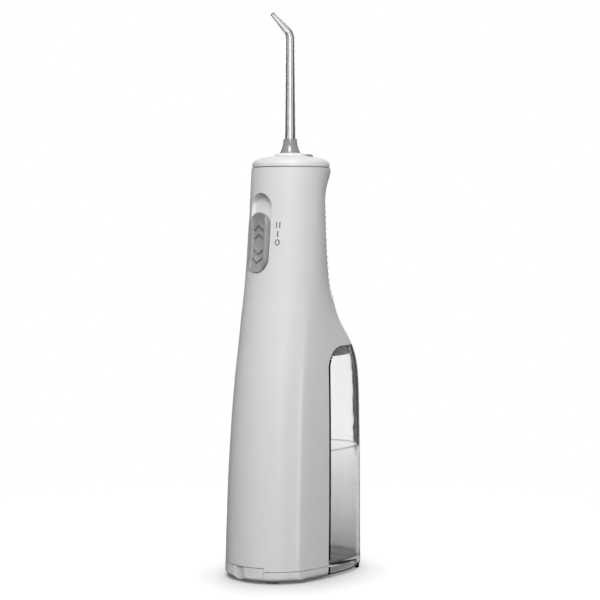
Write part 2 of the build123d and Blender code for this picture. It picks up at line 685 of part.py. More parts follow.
def tip_base():
    """Grey flared cone at the foot of the tip."""
    waist = (CONE_TOP + 0.35, CONE_Z + CONE_HEIGHT * 0.55)
    profile = [
        Line((0, CONE_Z), (CONE_FOOT, CONE_Z)),
        Line((CONE_FOOT, CONE_Z), (CONE_FOOT, CONE_Z + 0.5)),
        Spline([(CONE_FOOT, CONE_Z + 0.5), waist, (CONE_TOP, TIP_FOOT_Z)]),
        Line((CONE_TOP, TIP_FOOT_Z), (0, TIP_FOOT_Z)),
        Line((0, TIP_FOOT_Z), (0, CONE_Z)),
    ]
    cone = revolve(Plane.XZ * make_face(Wire(profile)), Axis.Z)
    foot = COLLAR_TOP - STEM_LENGTH
    hole = turned([(0, foot), (STEM_RADIUS, foot), (STEM_RADIUS, STEM_GROOVE[1]),
                   (TIP_FOOT_RADIUS, TIP_FOOT_Z), (0, TIP_FOOT_Z)])
    return cone - hole


def stem_ring():
    """Seal ring in the groove at the foot of the tip's stem."""
    return seal_ring(STEM_RADIUS, STEM_RING_Z, RING_WIRE - RING_EASE)


def chevron(along, way):
    """One raised arrow mark on the slider, pointing up (1) or down (-1)."""
    bars = []
    for side in (-1, 1):
        bar = (Pos(side * CHEVRON_HALF, along - way * 1.3, 0) * Rot(0, 0, -side * way * CHEVRON_LEAN)
               * Box(CHEVRON_LENGTH, CHEVRON_WIDTH, SWITCH_DEPTH))
        bars.append(bar)
    return SWITCH_PLANE * (bars[0] + bars[1])


def switch_slider():
    """Grey thumb slider, dished along its length, with arrow marks."""
    low = -SWITCH_DEPTH + SLIDER_FIT
    width = SWITCH_WIDTH - 2 * SLIDER_FIT
    slider = capsule(SLIDER_LENGTH, width, low, SLIDER_PROUD, SLIDER_PLACE)
    slider = fillet(outward(slider)[-1].edges(), 0.9)
    slider = fillet(outward(slider)[0].edges(), RECESS_ROUND - SLIDER_FIT)
    dish_radius = SLIDER_LENGTH * 2.0
    dish = SWITCH_PLANE * (Pos(0, SLIDER_PLACE, dish_radius - DISH_DEPTH) * Rot(0, 90, 0)
                           * Cylinder(dish_radius, SWITCH_WIDTH - 2 * DISH_RIM))
    dish = fillet(dish.edges(), 1.0)
    marks = []
    for step, way in CHEVRON_PLACES:
        marks.append(chevron(SLIDER_PLACE + step, way))
    relief = SWITCH_PLANE * (Pos(0, SLIDER_PLACE, dish_radius - CHEVRON_SINK) * Rot(0, 90, 0)
                             * Cylinder(dish_radius, SWITCH_WIDTH))
    raised = [(mark & slider) - relief for mark in marks]
    wide, high = POINTER
    pointer = Pos(width / 2 - 1.3, SLIDER_PLACE, SLIDER_PROUD - 0.5 + high / 2) * Box(1.6, wide, 1.0 + high)
    pointer = fillet((SWITCH_PLANE * pointer).edges(), 0.15)
    return (slider - dish) + raised + pointer - slider_magnet()


def slider_magnet():
    """Disc magnet sunk in the underside of the slider."""
    middle = -SWITCH_DEPTH + SLIDER_FIT + MAGNET_THICK / 2
    return SWITCH_PLANE * (Pos(0, SLIDER_PLACE, middle) * Cylinder(MAGNET_RADIUS, MAGNET_THICK))


def on_board(x, along, wide, long, thick, back=False):
    """A block on the front or the back of the control board."""
    if back:
        z = -BOARD_BEHIND - BOARD_SIZE[2] - thick / 2
    else:
        z = -BOARD_BEHIND + thick / 2
    return SWITCH_PLANE * (Pos(x, along, z) * Box(wide, long, thick))


def control_board():
    """The board behind the switch."""
    wide, long, thick = BOARD_SIZE
    return SWITCH_PLANE * (Pos(0, 0, -BOARD_BEHIND - thick / 2) * Box(wide, long, thick))


def reed_switches():
    """Three glass reeds on the board that read the slider's magnet."""
    reeds = []
    for step in range(3):
        along = SLIDER_PLACE + SLIDER_TRAVEL * step / 2
        reed = Rot(0, 90, 0) * Cylinder(REED_RADIUS, REED_LENGTH)
        reed = Pos(0, along, -BOARD_BEHIND + REED_RADIUS) * reed
        reeds.append(SWITCH_PLANE * reed)
    return Compound(reeds)


def board_parts():
    """Driver chip, coil and capacitor on the back of the board."""
    return Compound([on_board(*size, back=True) for size in BOARD_PARTS])


def gear(teeth, low, high, x, y, phase):
    """A small straight-flanked gear with backlash."""
    pitch_radius = GEAR_MODULE * teeth / 2
    half_pitch = math.pi * GEAR_MODULE / 2
    widths = [(-0.55, half_pitch * 1.05), (0.0, half_pitch - BACKLASH), (0.42, half_pitch * 0.42)]
    points = []
    for i in range(teeth):
        centre = 2 * math.pi * i / teeth + phase
        left = [(pitch_radius + h, centre - w / 2 / (pitch_radius + h)) for h, w in widths]
        right = [(pitch_radius + h, centre + w / 2 / (pitch_radius + h)) for h, w in reversed(widths)]
        points += [(r * math.cos(a), r * math.sin(a)) for r, a in left + right]
    return Pos(x, y, low) * extrude(make_face(Polyline(points, close=True)), high - low)


def motor():
    """Motor can with the shaft hole in its top."""
    can = rod(MOTOR_RADIUS, PLATE_Z - MOTOR_LENGTH, PLATE_Z, 0, MOTOR_Y)
    can = fillet(can.faces().sort_by(Axis.Z)[0].edges(), 1.0)
    return can - rod(SHAFT_RADIUS + 0.05, PLATE_Z - 6, PLATE_Z + 1, 0, MOTOR_Y)


def motor_shaft():
    """Motor shaft."""
    return rod(SHAFT_RADIUS, PLATE_Z - 5.5, GEAR_Z + GEAR_THICK + 1, 0, MOTOR_Y)


def motor_pinion():
    """Small gear on the motor shaft."""
    phase = math.pi / 2 + math.pi / PINION_TEETH
    pinion = gear(PINION_TEETH, GEAR_Z, GEAR_Z + GEAR_THICK, 0, MOTOR_Y, phase)
    return pinion - rod(SHAFT_RADIUS, GEAR_Z - 1, GEAR_Z + GEAR_THICK + 1, 0, MOTOR_Y)


def crank_gear():
    """Large gear with the crank pin that drives the pump's yoke."""
    wheel = gear(GEAR_TEETH, GEAR_Z, GEAR_Z + GEAR_THICK, 0, GEAR_Y, -math.pi / 2)
    wheel = wheel - rod(CRANK_PIN + 0.05, GEAR_Z - 1, GEAR_Z + GEAR_THICK - 0.8, 0, GEAR_Y)
    return wheel + rod(CRANK_PIN, GEAR_Z + GEAR_THICK, PUMP_Z + YOKE_THICK, CRANK_THROW, GEAR_Y)


def gear_axle():
    """Fixed axle that the large gear turns on."""
    return rod(CRANK_PIN, PLATE_Z, GEAR_Z + GEAR_THICK - 0.9, 0, GEAR_Y)


def gear_plate():
    """Plate across the handle that carries the motor and the gear's axle."""
    plate = cavity(PLATE_Z, PLATE_Z + PLATE_THICK)
    plate = plate - rod(SHAFT_RADIUS + 0.6, PLATE_Z - 1, PLATE_Z + 3, 0, MOTOR_Y)
    plate = plate - rod(CRANK_PIN, PLATE_Z - 1, PLATE_Z + 3, 0, GEAR_Y)
    for x, y in screw_places():
        plate = plate - rod(1.1, PLATE_Z - 1, PLATE_Z + 3, x, y)
    return plate


def screw_places():
    """The four screws that hold the gear plate to the motor frame."""
    return [(side * SCREW_X, y) for side in (-1, 1) for y in SCREW_Y]


def motor_frame():
    """Two legs and a ring round the motor, between the cells and the gear plate."""
    low = CELL_TOP + 2.0
    frame = block(-FRAME_HALF, FRAME_HALF, *FRAME_ENDS, low, PLATE_Z)
    frame = frame - block(-FRAME_GAP, FRAME_GAP, -FAR, FAR, low - 1, PLATE_Z + 1)
    ring_z = PLATE_Z - MOTOR_LENGTH + 4
    band = block(-FRAME_HALF, FRAME_HALF, MOTOR_Y - 3, FRAME_ENDS[1], ring_z, ring_z + FRAME_BAND)
    frame = (frame + band) & cavity(low, PLATE_Z)
    frame = frame - rod(MOTOR_RADIUS, low, PLATE_Z + 1, 0, MOTOR_Y)
    for x, y in screw_places():
        frame = frame - rod(SCREW_RADIUS, PLATE_Z - 7, PLATE_Z + 1, x, y)
    return frame


def frame_screws():
    """Four pan-head screws."""
    screws = []
    top = PLATE_Z + PLATE_THICK
    for x, y in screw_places():
        head = rod(SCREW_HEAD, top, top + SCREW_HEAD_HIGH, x, y)
        slot = block(x - SCREW_HEAD, x + SCREW_HEAD, y - 0.25, y + 0.25, top + 0.6, top + 2)
        screws.append(rod(SCREW_RADIUS, PLATE_Z - 6, top, x, y) + head - slot)
    return Compound(screws)


def piston_yoke():
    """Flat yoke round the crank pin, with the rod that pushes the piston."""
    low, high = PUMP_Z - YOKE_THICK / 2, PUMP_Z + YOKE_THICK / 2
    yoke = block(-YOKE_SIDE, YOKE_SIDE, GEAR_Y - YOKE_HALF, GEAR_Y + YOKE_HALF, low, high)
    yoke = yoke - block(-YOKE_SIDE + 2, YOKE_SIDE - 2, GEAR_Y - YOKE_WINDOW, GEAR_Y + YOKE_WINDOW,
                        low - 1, high + 1)
    return yoke + (rod_along_y(ROD_RADIUS, GEAR_Y + YOKE_HALF - 1, PISTON_START, PUMP_Z)
                   - block(-9, 9, -FAR, GEAR_Y + YOKE_WINDOW, 100, 160))


def piston():
    """Piston with a groove for its seal."""
    head = rod_along_y(PUMP_BORE - 0.1, PISTON_START, PISTON_START + PISTON_LENGTH, PUMP_Z)
    middle = PISTON_START + PISTON_LENGTH / 2
    groove = Torus(PUMP_BORE - RING_WIRE - RING_EASE, RING_WIRE)
    return head - (Pos(0, middle, PUMP_Z) * Rot(90, 0, 0) * groove)


def piston_seal():
    """Ring in the groove of the piston."""
    middle = PISTON_START + PISTON_LENGTH / 2
    ring = Torus(PUMP_BORE - RING_WIRE - RING_EASE, RING_WIRE - RING_EASE)
    return Pos(0, middle, PUMP_Z) * Rot(90, 0, 0) * ring


def pump_cylinder():
    """Barrel that the piston runs in."""
    barrel = rod_along_y(PUMP_RADIUS, PUMP_START, PUMP_END, PUMP_Z)
    return barrel - rod_along_y(PUMP_BORE + 0.05, PUMP_START - 1, PUMP_END + 1, PUMP_Z)


def pump_head():
    """Valve block behind the cylinder, with a chamber for each valve."""
    head = block(-PUMP_RADIUS, PUMP_RADIUS, PUMP_END, HEAD_END, PUMP_Z - PUMP_RADIUS, PUMP_Z + PUMP_RADIUS)
    head = head & cavity(PUMP_Z - 10, PUMP_Z + 10)
    head = head - rod_along_y(1.0, PUMP_END - 1, SUCTION_Y, PUMP_Z)
    head = head - rod(HOSE_RADIUS, PUMP_Z - PUMP_RADIUS - 1, PUMP_Z - 4.6, 0, SUCTION_Y)
    head = head - rod(HOSE_RADIUS, PUMP_Z + 4.6, PUMP_Z + PUMP_RADIUS + 1, 0, SUCTION_Y)
    return head - rod(HOSE_BORE, PUMP_Z - 5, PUMP_Z + 5, 0, SUCTION_Y)


def duckbill(low):
    """A rubber one-way valve: a short tube that narrows to a slit."""
    valve = turned([(0, low), (HOSE_BORE, low), (HOSE_BORE, low + 1.2), (0.5, low + 3.0), (0, low + 3.0)])
    valve = valve - rod(0.35, low - 1, low + 2.2)
    return Pos(0, SUCTION_Y, 0) * valve


def suction_tube():
    """Tube that draws water from the foot of the tank."""
    top = PUMP_Z - 4.6
    tube = rod(HOSE_RADIUS, SUCTION_FOOT, top, 0, SUCTION_Y)
    return tube - rod(HOSE_BORE, SUCTION_FOOT - 1, top + 1, 0, SUCTION_Y)


def inlet_filter():
    """Small slotted filter on the foot of the suction tube."""
    low = SUCTION_FOOT - 2.5
    cup = rod(HOSE_RADIUS + 1.0, low, SUCTION_FOOT + 4, 0, SUCTION_Y)
    cup = cup - rod(HOSE_RADIUS, SUCTION_FOOT, SUCTION_FOOT + 5, 0, SUCTION_Y)
    cup = cup - rod(HOSE_BORE, low + 0.8, SUCTION_FOOT + 1, 0, SUCTION_Y)
    for x in (-1.2, 0.0, 1.2):
        cup = cup - block(x - 0.25, x + 0.25, SUCTION_Y - 5, SUCTION_Y + 5, low + 0.8, SUCTION_FOOT - 0.6)
    return cup


def delivery_tube():
    """Hose from the pump's head up the back of the neck to the outlet."""
    start_z = PUMP_Z + 4.6
    points = [(SUCTION_Y, start_z), (SUCTION_Y, start_z + 5.0), (HOSE_Y, PORT_Z - 42.5), (HOSE_Y, PORT_Z),
              (OUTLET_RADIUS, PORT_Z)]
    return pipe(points, [6.0, 14.0, 3.2], HOSE_RADIUS, HOSE_BORE)


def cell_places():
    """Where the three cells stand, side by side."""
    return [(CELL_PITCH * i, CELL_Y) for i in (-1, 0, 1)]


def cell(index):
    """One AA cell; the middle one stands the other way up."""
    x, y = cell_places()[index]
    nub_radius, nub = CELL_NUB
    can = rod(CELL_RADIUS, 0, CELL_LENGTH - nub) + rod(nub_radius, CELL_LENGTH - nub, CELL_LENGTH)
    if index == 1:
        return Pos(x, y, CELL_TOP) * Rot(180, 0, 0) * can
    return Pos(x, y, CELL_FOOT) * can


def battery_tray():
    """Three open sleeves for the cells, on a flange across the foot of the handle."""
    top = CELL_TOP - 4
    outer = CELL_RADIUS + CELL_FIT + TRAY_WALL
    tray = cavity(TRAY_FOOT, TRAY_FOOT + 2) - latch_space(3 * LATCH_GAP, LATCH_TRAVEL)
    for x, y in cell_places():
        tray = tray + rod(outer, TRAY_FOOT, top, x, y)
    for x, y in cell_places():
        tray = tray - rod(CELL_RADIUS + CELL_FIT, TRAY_FOOT - 1, top + 1, x, y)
    return tray


def contact_plate():
    """Plate over the cells that carries the upper contacts."""
    return cavity(CELL_TOP + 0.4, CELL_TOP + 2.0)


def battery_contacts():
    """Two bare strips under the contact plate."""
    low, high = CELL_TOP, CELL_TOP + 0.4
    strips = [block(-CELL_PITCH - 4, 4, CELL_Y - 3, CELL_Y + 3, low, high),
              block(CELL_PITCH - 4, CELL_PITCH + 4, CELL_Y - 3, CELL_Y + 3, low, high)]
    return Compound(strips)


def battery_springs():
    """Three coil contacts on the door's floor."""
    low = BODY_FOOT + DOOR_FLOOR
    return Compound([coil(3.6, 0.35, low, CELL_FOOT - 0.1, 4, x, y) for x, y in cell_places()])


def save(name, piece):
    """Write one piece, moved so that the origin is under the middle of the body."""
    export_step(Pos(0, SHIFT_Y, 0) * piece, "parts/" + name + ".step")


PIECES = {
    "housing": housing,
    "grip_ribs": grip_ribs,
    "top_cap": top_cap,
    "eject_button": eject_button,
    "eject_spring": eject_spring,
    "tip_latch": tip_latch,
    "tip_seat": tip_seat,
    "outlet_block": outlet_block,
    "jet_tip": jet_tip,
    "tip_base": tip_base,
    "stem_ring": stem_ring,
    "switch_slider": switch_slider,
    "slider_magnet": slider_magnet,
    "control_board": control_board,
    "reed_switches": reed_switches,
    "board_parts": board_parts,
    "motor": motor,
    "motor_shaft": motor_shaft,
    "motor_pinion": motor_pinion,
    "crank_gear": crank_gear,
    "gear_axle": gear_axle,
    "gear_plate": gear_plate,
    "motor_frame": motor_frame,
    "frame_screws": frame_screws,
    "piston_yoke": piston_yoke,
    "piston": piston,
    "piston_seal": piston_seal,
    "pump_cylinder": pump_cylinder,
    "pump_head": pump_head,
    "inlet_valve": lambda: duckbill(PUMP_Z - 4.6),
    "outlet_valve": lambda: duckbill(PUMP_Z + 1.4),
    "suction_tube": suction_tube,
    "inlet_filter": inlet_filter,
    "delivery_tube": delivery_tube,
    "battery_tray": battery_tray,
    "battery_1": lambda: cell(0),
    "battery_2": lambda: cell(1),
    "battery_3": lambda: cell(2),
    "contact_plate": contact_plate,
    "battery_contacts": battery_contacts,
    "battery_springs": battery_springs,
    "battery_door": battery_door,
    "door_gasket": door_gasket,
    "door_hinge_pin": door_hinge_pin,
    "door_latch": door_latch,
    "latch_spring": latch_spring,
    "door_feet": door_feet,
    "reservoir": reservoir,
    "reservoir_seal": reservoir_seal,
}

os.makedirs("parts", exist_ok=True)
for name, make in PIECES.items():
    save(name, make())
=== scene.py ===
"""Studio view of a cordless oral irrigator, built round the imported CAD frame."""
import math

import bpy
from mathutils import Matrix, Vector
from mathutils.bvhtree import BVHTree


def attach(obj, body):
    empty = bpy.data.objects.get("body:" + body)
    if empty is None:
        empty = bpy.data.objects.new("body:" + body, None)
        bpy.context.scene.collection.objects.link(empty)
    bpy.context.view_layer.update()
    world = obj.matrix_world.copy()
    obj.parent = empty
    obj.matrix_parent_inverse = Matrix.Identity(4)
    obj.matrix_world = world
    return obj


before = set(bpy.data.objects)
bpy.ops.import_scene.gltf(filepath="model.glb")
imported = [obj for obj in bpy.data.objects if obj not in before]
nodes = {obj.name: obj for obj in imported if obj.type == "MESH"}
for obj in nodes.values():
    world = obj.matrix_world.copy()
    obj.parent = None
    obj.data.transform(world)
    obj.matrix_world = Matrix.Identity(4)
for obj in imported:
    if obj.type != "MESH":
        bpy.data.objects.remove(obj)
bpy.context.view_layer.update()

MM = 0.001
scene = bpy.context.scene

# ---------------------------------------------------------------- camera

EYE = Vector((0.6318, -0.5938, 0.1766))
AHEAD = Vector((-0.72615, 0.68654, -0.03699))
LENS = 98.2              # millimetres, on a film SENSOR wide
SENSOR = 36.0
NEAR_CLIP = 20 * MM

camera_data = bpy.data.cameras.new("camera")
camera_data.lens = LENS
camera_data.sensor_width = SENSOR
camera_data.clip_start = NEAR_CLIP
camera = bpy.data.objects.new("camera", camera_data)
camera.location = EYE
camera.rotation_euler = AHEAD.to_track_quat("-Z", "Y").to_euler()
scene.collection.objects.link(camera)
scene.camera = camera
scene.view_settings.view_transform = "Standard"
scene.view_settings.look = "None"


# ---------------------------------------------------------------- node helpers

# The Mix node has one set of sockets for each kind of value, so its colours go by number.
MIX_FIRST, MIX_SECOND, MIX_COLOUR = 6, 7, 2


class Tree:
    """A material's node tree with short calls for the nodes this file uses."""

    def __init__(self, name):
        self.material = bpy.data.materials.new(name)
        self.material.use_nodes = True
        self.tree = self.material.node_tree
        self.tree.nodes.clear()
        self.output = self.new("ShaderNodeOutputMaterial")

    def new(self, kind, **settings):
        node = self.tree.nodes.new(kind)
        for key, value in settings.items():
            setattr(node, key, value)
        return node

    def link(self, start, end):
        self.tree.links.new(start, end)

    def place(self):
        """Object position, in metres."""
        return self.new("ShaderNodeTexCoord").outputs["Object"]

    def noise(self, size, detail=2.0, stretch=None):
        """Noise whose features are about `size` metres across."""
        where = self.place()
        if stretch is not None:
            mapping = self.new("ShaderNodeMapping")
            mapping.inputs["Scale"].default_value = stretch
            self.link(where, mapping.inputs["Vector"])
            where = mapping.outputs["Vector"]
        node = self.new("ShaderNodeTexNoise")
        node.inputs["Scale"].default_value = 1.0 / size
        node.inputs["Detail"].default_value = detail
        self.link(where, node.inputs["Vector"])
        return node.outputs["Fac"]

    def spread(self, value, low, high, start=0.3, end=0.7):
        """`value` mapped from start..end on to low..high."""
        node = self.new("ShaderNodeMapRange")
        node.inputs["From Min"].default_value = start
        node.inputs["From Max"].default_value = end
        node.inputs["To Min"].default_value = low
        node.inputs["To Max"].default_value = high
        self.link(value, node.inputs["Value"])
        return node.outputs["Result"]

    def blend(self, factor, first, second):
        """A colour between first and second."""
        node = self.new("ShaderNodeMix", data_type="RGBA")
        self.link(factor, node.inputs["Factor"])
        node.inputs[MIX_FIRST].default_value = (*first, 1.0)
        node.inputs[MIX_SECOND].default_value = (*second, 1.0)
        return node.outputs[MIX_COLOUR]

    def bump(self, height, depth, strength=1.0):
        """A normal that rises and falls with `height`, `depth` metres deep."""
        node = self.new("ShaderNodeBump")
        node.inputs["Distance"].default_value = depth
        node.inputs["Strength"].default_value = strength
        self.link(height, node.inputs["Height"])
        return node.outputs["Normal"]

    def height(self):
        """Height above the floor, in metres."""
        node = self.new("ShaderNodeSeparateXYZ")
        self.link(self.place(), node.inputs["Vector"])
        return node.outputs["Z"]

    def ramp(self, value, stops):
        """A colour for `value` from stops, each a position and a colour."""
        node = self.new("ShaderNodeValToRGB")
        marks = node.color_ramp.elements
        while len(marks) < len(stops):
            marks.new(0.5)
        for mark, (position, colour) in zip(marks, stops):
            mark.position = position
            mark.color = (*colour, 1.0)
        self.link(value, node.inputs["Fac"])
        return node.outputs["Color"]


def grey(level):
    return (level, level, level)


def shade(colour, factor):
    """The colour made lighter or darker, kept at or below full white."""
    return tuple(min(1.0, channel * factor) for channel in colour)


MOTTLE_SIZE = 9 * MM
GLOSS_SIZE = 4 * MM
COAT_ROUGH = 0.12
BLOOM_SIZE = 2.5 * MM
RUBBER_GRAIN = 0.2 * MM
RUBBER_DEPTH = 0.012 * MM
STAIN_SIZE = 3 * MM
DRAWN_LINE = 0.5 * MM
DRAWN_DEPTH = 0.004 * MM
HAZE_SIZE = 6 * MM
WISP_SIZE = 5 * MM
WISP_DEPTH = 0.02 * MM
WALL_PASSES = 0.82       # share of a lamp's light that one clear wall lets through


def plastic(name, colour, rough, grain=0.35 * MM, depth=0.006 * MM, mottle=0.008,
            specular=0.5, coat=0.0, flow=None):
    """Moulded plastic: a fine spark-eroded grain, slow mottling and uneven gloss."""
    tree = Tree(name)
    shader = tree.new("ShaderNodeBsdfPrincipled")
    shader.inputs["Specular IOR Level"].default_value = specular
    shader.inputs["Coat Weight"].default_value = coat
    shader.inputs["Coat Roughness"].default_value = COAT_ROUGH
    slow = tree.noise(MOTTLE_SIZE, 3.0, flow)
    tint = tree.blend(tree.spread(slow, 0.0, 1.0),
                      shade(colour, 1 - mottle), shade(colour, 1 + mottle))
    tree.link(tint, shader.inputs["Base Color"])
    gloss = tree.noise(GLOSS_SIZE)
    tree.link(tree.spread(gloss, rough * 0.88, rough * 1.12), shader.inputs["Roughness"])
    fine = tree.noise(grain, 1.0)
    tree.link(tree.bump(fine, depth), shader.inputs["Normal"])
    tree.link(shader.outputs["BSDF"], tree.output.inputs["Surface"])
    return tree.material


def rubber(name, colour, rough):
    """Matt rubber with a dusty bloom and a soft grain."""
    tree = Tree(name)
    shader = tree.new("ShaderNodeBsdfPrincipled")
    shader.inputs["Specular IOR Level"].default_value = 0.35
    shader.inputs["Sheen Weight"].default_value = 0.15
    bloom = tree.noise(BLOOM_SIZE, 4.0)
    tree.link(tree.blend(tree.spread(bloom, 0.0, 1.0), shade(colour, 0.8), shade(colour, 1.5)),
              shader.inputs["Base Color"])
    tree.link(tree.spread(bloom, rough * 0.9, rough * 1.1), shader.inputs["Roughness"])
    tree.link(tree.bump(tree.noise(RUBBER_GRAIN), RUBBER_DEPTH), shader.inputs["Normal"])
    tree.link(shader.outputs["BSDF"], tree.output.inputs["Surface"])
    return tree.material


def metal(name, colour, rough, along=(1.0, 1.0, 12.0)):
    """Plated or turned metal, with fine drawn lines and faint stains."""
    tree = Tree(name)
    shader = tree.new("ShaderNodeBsdfPrincipled")
    shader.inputs["Metallic"].default_value = 1.0
    stain = tree.noise(STAIN_SIZE, 4.0)
    tree.link(tree.blend(tree.spread(stain, 0.0, 1.0), shade(colour, 0.86), shade(colour, 1.08)),
              shader.inputs["Base Color"])
    lines = tree.noise(DRAWN_LINE, 2.0, along)
    tree.link(tree.spread(lines, rough * 0.75, rough * 1.3), shader.inputs["Roughness"])
    tree.link(tree.bump(lines, DRAWN_DEPTH), shader.inputs["Normal"])
    tree.link(shader.outputs["BSDF"], tree.output.inputs["Surface"])
    return tree.material


def clear(name, rough, ior, tint=None, stops=None, top=None):
    """Clear moulded plastic. Lamps shine through it, a little weaker at each wall.

    Its colour is `tint`, or stops by height, as shares of `top`. Flow lines from the mould bend
    the gloss.
    """
    tree = Tree(name)
    shader = tree.new("ShaderNodeBsdfPrincipled")
    shader.inputs["Transmission Weight"].default_value = 1.0
    shader.inputs["IOR"].default_value = ior
    if stops is not None:
        share = tree.spread(tree.height(), 0.0, 1.0, 0.0, top)
        tree.link(tree.ramp(share, stops), shader.inputs["Base Color"])
    else:
        haze = tree.noise(HAZE_SIZE)
        tree.link(tree.blend(tree.spread(haze, 0.0, 1.0), shade(tint, 0.97), shade(tint, 1.02)),
                  shader.inputs["Base Color"])
    wisps = tree.noise(WISP_SIZE, 2.0, (1.0, 1.0, 0.25))
    tree.link(tree.spread(wisps, rough * 0.6, rough * 1.4), shader.inputs["Roughness"])
    tree.link(tree.bump(wisps, WISP_DEPTH, 0.5), shader.inputs["Normal"])
    through = tree.new("ShaderNodeBsdfTransparent")
    through.inputs["Color"].default_value = (*grey(WALL_PASSES), 1.0)
    path = tree.new("ShaderNodeLightPath")
    mix = tree.new("ShaderNodeMixShader")
    tree.link(path.outputs["Is Shadow Ray"], mix.inputs["Fac"])
    tree.link(shader.outputs["BSDF"], mix.inputs[1])
    tree.link(through.outputs["BSDF"], mix.inputs[2])
    tree.link(mix.outputs["Shader"], tree.output.inputs["Surface"])
    return tree.material


# ---------------------------------------------------------------- materials

BODY_WHITE = (0.80, 0.80, 0.805)
CAP_WHITE = (0.84, 0.84, 0.845)
RIB_WHITE = (0.74, 0.74, 0.745)

body_white = plastic("body_white", BODY_WHITE, 0.46, specular=0.35)
cap_white = plastic("cap_white", CAP_WHITE, 0.34, grain=0.5 * MM, depth=0.004 * MM)
rib_white = plastic("rib_white", RIB_WHITE, 0.55, grain=0.25 * MM, depth=0.01 * MM)
door_white = plastic("door_white", shade(BODY_WHITE, 0.97), 0.45)
switch_grey = plastic("switch_grey", grey(0.38), 0.40, grain=0.3 * MM)
button_grey = plastic("button_grey", grey(0.27), 0.40)
black_rubber = rubber("black_rubber", (0.018, 0.018, 0.019), 0.62)
grey_rubber = rubber("grey_rubber", (0.16, 0.16, 0.165), 0.66)
inner_plastic = plastic("inner_plastic", (0.62, 0.62, 0.60), 0.5, mottle=0.05)
battery_tray = plastic("battery_tray", (0.10, 0.10, 0.105), 0.5, mottle=0.08)
gear_plastic = plastic("gear_plastic", (0.82, 0.80, 0.72), 0.38, mottle=0.04)
cell_wrap = plastic("cell_wrap", (0.035, 0.036, 0.045), 0.28, grain=1.2 * MM, depth=0.01 * MM,
                    coat=0.5)
board_green = plastic("board_green", (0.02, 0.13, 0.05), 0.3, mottle=0.2, coat=0.4,
                      flow=(3.0, 1.0, 3.0))
board_black = plastic("board_black", grey(0.03), 0.45)
print_grey = plastic("print_grey", grey(0.16), 0.5, grain=0.2 * MM, depth=0.002 * MM, mottle=0.12)
steel = metal("steel", (0.60, 0.60, 0.60), 0.3)
spring_steel = metal("spring_steel", (0.66, 0.66, 0.64), 0.26, (12.0, 12.0, 1.0))
brass = metal("brass", (0.72, 0.60, 0.36), 0.3)

# The tank from its foot up: a painted shadow at the foot, a painted dark line at the inner floor's
# edge, painted shade of the handle's back wall seen through, darker lower down, and a thin dark
# line high up.
ACRYLIC_IOR = 1.49
GLASS_IOR = 1.5
TANK_TOP = 120 * MM
TANK_PAINTED_SHADE = (
    (0.000, grey(0.05)), (0.017, grey(0.08)), (0.023, grey(0.60)), (0.055, grey(0.62)),
    (0.059, grey(0.30)), (0.066, grey(0.30)), (0.072, grey(0.48)), (0.300, grey(0.72)),
    (0.550, grey(0.92)),
    (0.552, grey(0.45)), (0.556, grey(0.45)), (0.558, grey(0.97)), (1.000, grey(0.97)),
)
clear_tank = clear("clear_tank", 0.03, ACRYLIC_IOR, stops=TANK_PAINTED_SHADE, top=TANK_TOP)
clear_tip = clear("clear_tip", 0.02, ACRYLIC_IOR, tint=(0.96, 0.965, 0.965))
cone_grey = plastic("cone_grey", grey(0.30), 0.20, grain=0.6 * MM, depth=0.003 * MM, coat=0.6)
reed_glass = clear("reed_glass", 0.05, GLASS_IOR, tint=(0.75, 0.86, 0.80))

FINISHES = {
    "housing": body_white, "grip_ribs": rib_white, "top_cap": cap_white,
    "eject_button": button_grey, "eject_spring": spring_steel, "tip_latch": gear_plastic,
    "tip_seat": cap_white, "outlet_block": inner_plastic, "jet_tip": clear_tip,
    "tip_base": cone_grey, "stem_ring": black_rubber, "switch_slider": switch_grey,
    "slider_magnet": steel, "control_board": board_green, "reed_switches": reed_glass,
    "board_parts": board_black, "motor": steel, "motor_shaft": steel,
    "motor_pinion": brass, "crank_gear": gear_plastic, "gear_axle": steel,
    "gear_plate": inner_plastic, "motor_frame": inner_plastic, "frame_screws": steel,
    "piston_yoke": gear_plastic, "piston": gear_plastic, "piston_seal": black_rubber,
    "pump_cylinder": inner_plastic, "pump_head": inner_plastic, "inlet_valve": grey_rubber,
    "outlet_valve": grey_rubber, "suction_tube": inner_plastic, "inlet_filter": steel,
    "delivery_tube": grey_rubber, "battery_tray": battery_tray, "battery_1": cell_wrap,
    "battery_2": cell_wrap, "battery_3": cell_wrap, "contact_plate": battery_tray,
    "battery_contacts": spring_steel, "battery_springs": spring_steel,
    "battery_door": door_white, "door_gasket": black_rubber, "door_hinge_pin": steel,
    "door_latch": door_white, "latch_spring": spring_steel, "door_feet": grey_rubber,
    "reservoir": clear_tank, "reservoir_seal": black_rubber,
}


def paint(piece, material):
    """The material on every slot of the piece."""
    data = piece.data
    if not data.materials:
        data.materials.append(material)
    for index in range(len(data.materials)):
        data.materials[index] = material


for node_name, node_object in nodes.items():
    paint(node_object, FINISHES[node_name])


# ---------------------------------------------------------------- switch marks

MARK_RAISE = 0.02 * MM    # the print stands this far out of the handle and sinks this far in
MARK_SINK = 0.05 * MM
MARK_WIDE = 0.55 * MM     # width of a stroke
MARK_X = 11.15 * MM
MARK_Z = {"two": 184.0 * MM, "one": 179.4 * MM, "zero": 175.05 * MM}
MARK_TALL = 3.1 * MM
TWO_HALF_GAP = 0.72 * MM
ZERO_SHIFT = 0.05 * MM
ZERO_HALF_WIDE = 1.12 * MM
ZERO_HALF_TALL = 1.65 * MM
BAR_STEPS = 6
RING_STEPS = 40
AHEAD_OF_HANDLE = -100 * MM

housing_shape = BVHTree.FromPolygons(
    [vertex.co.copy() for vertex in nodes["housing"].data.vertices],
    [tuple(face.vertices) for face in nodes["housing"].data.polygons],
)


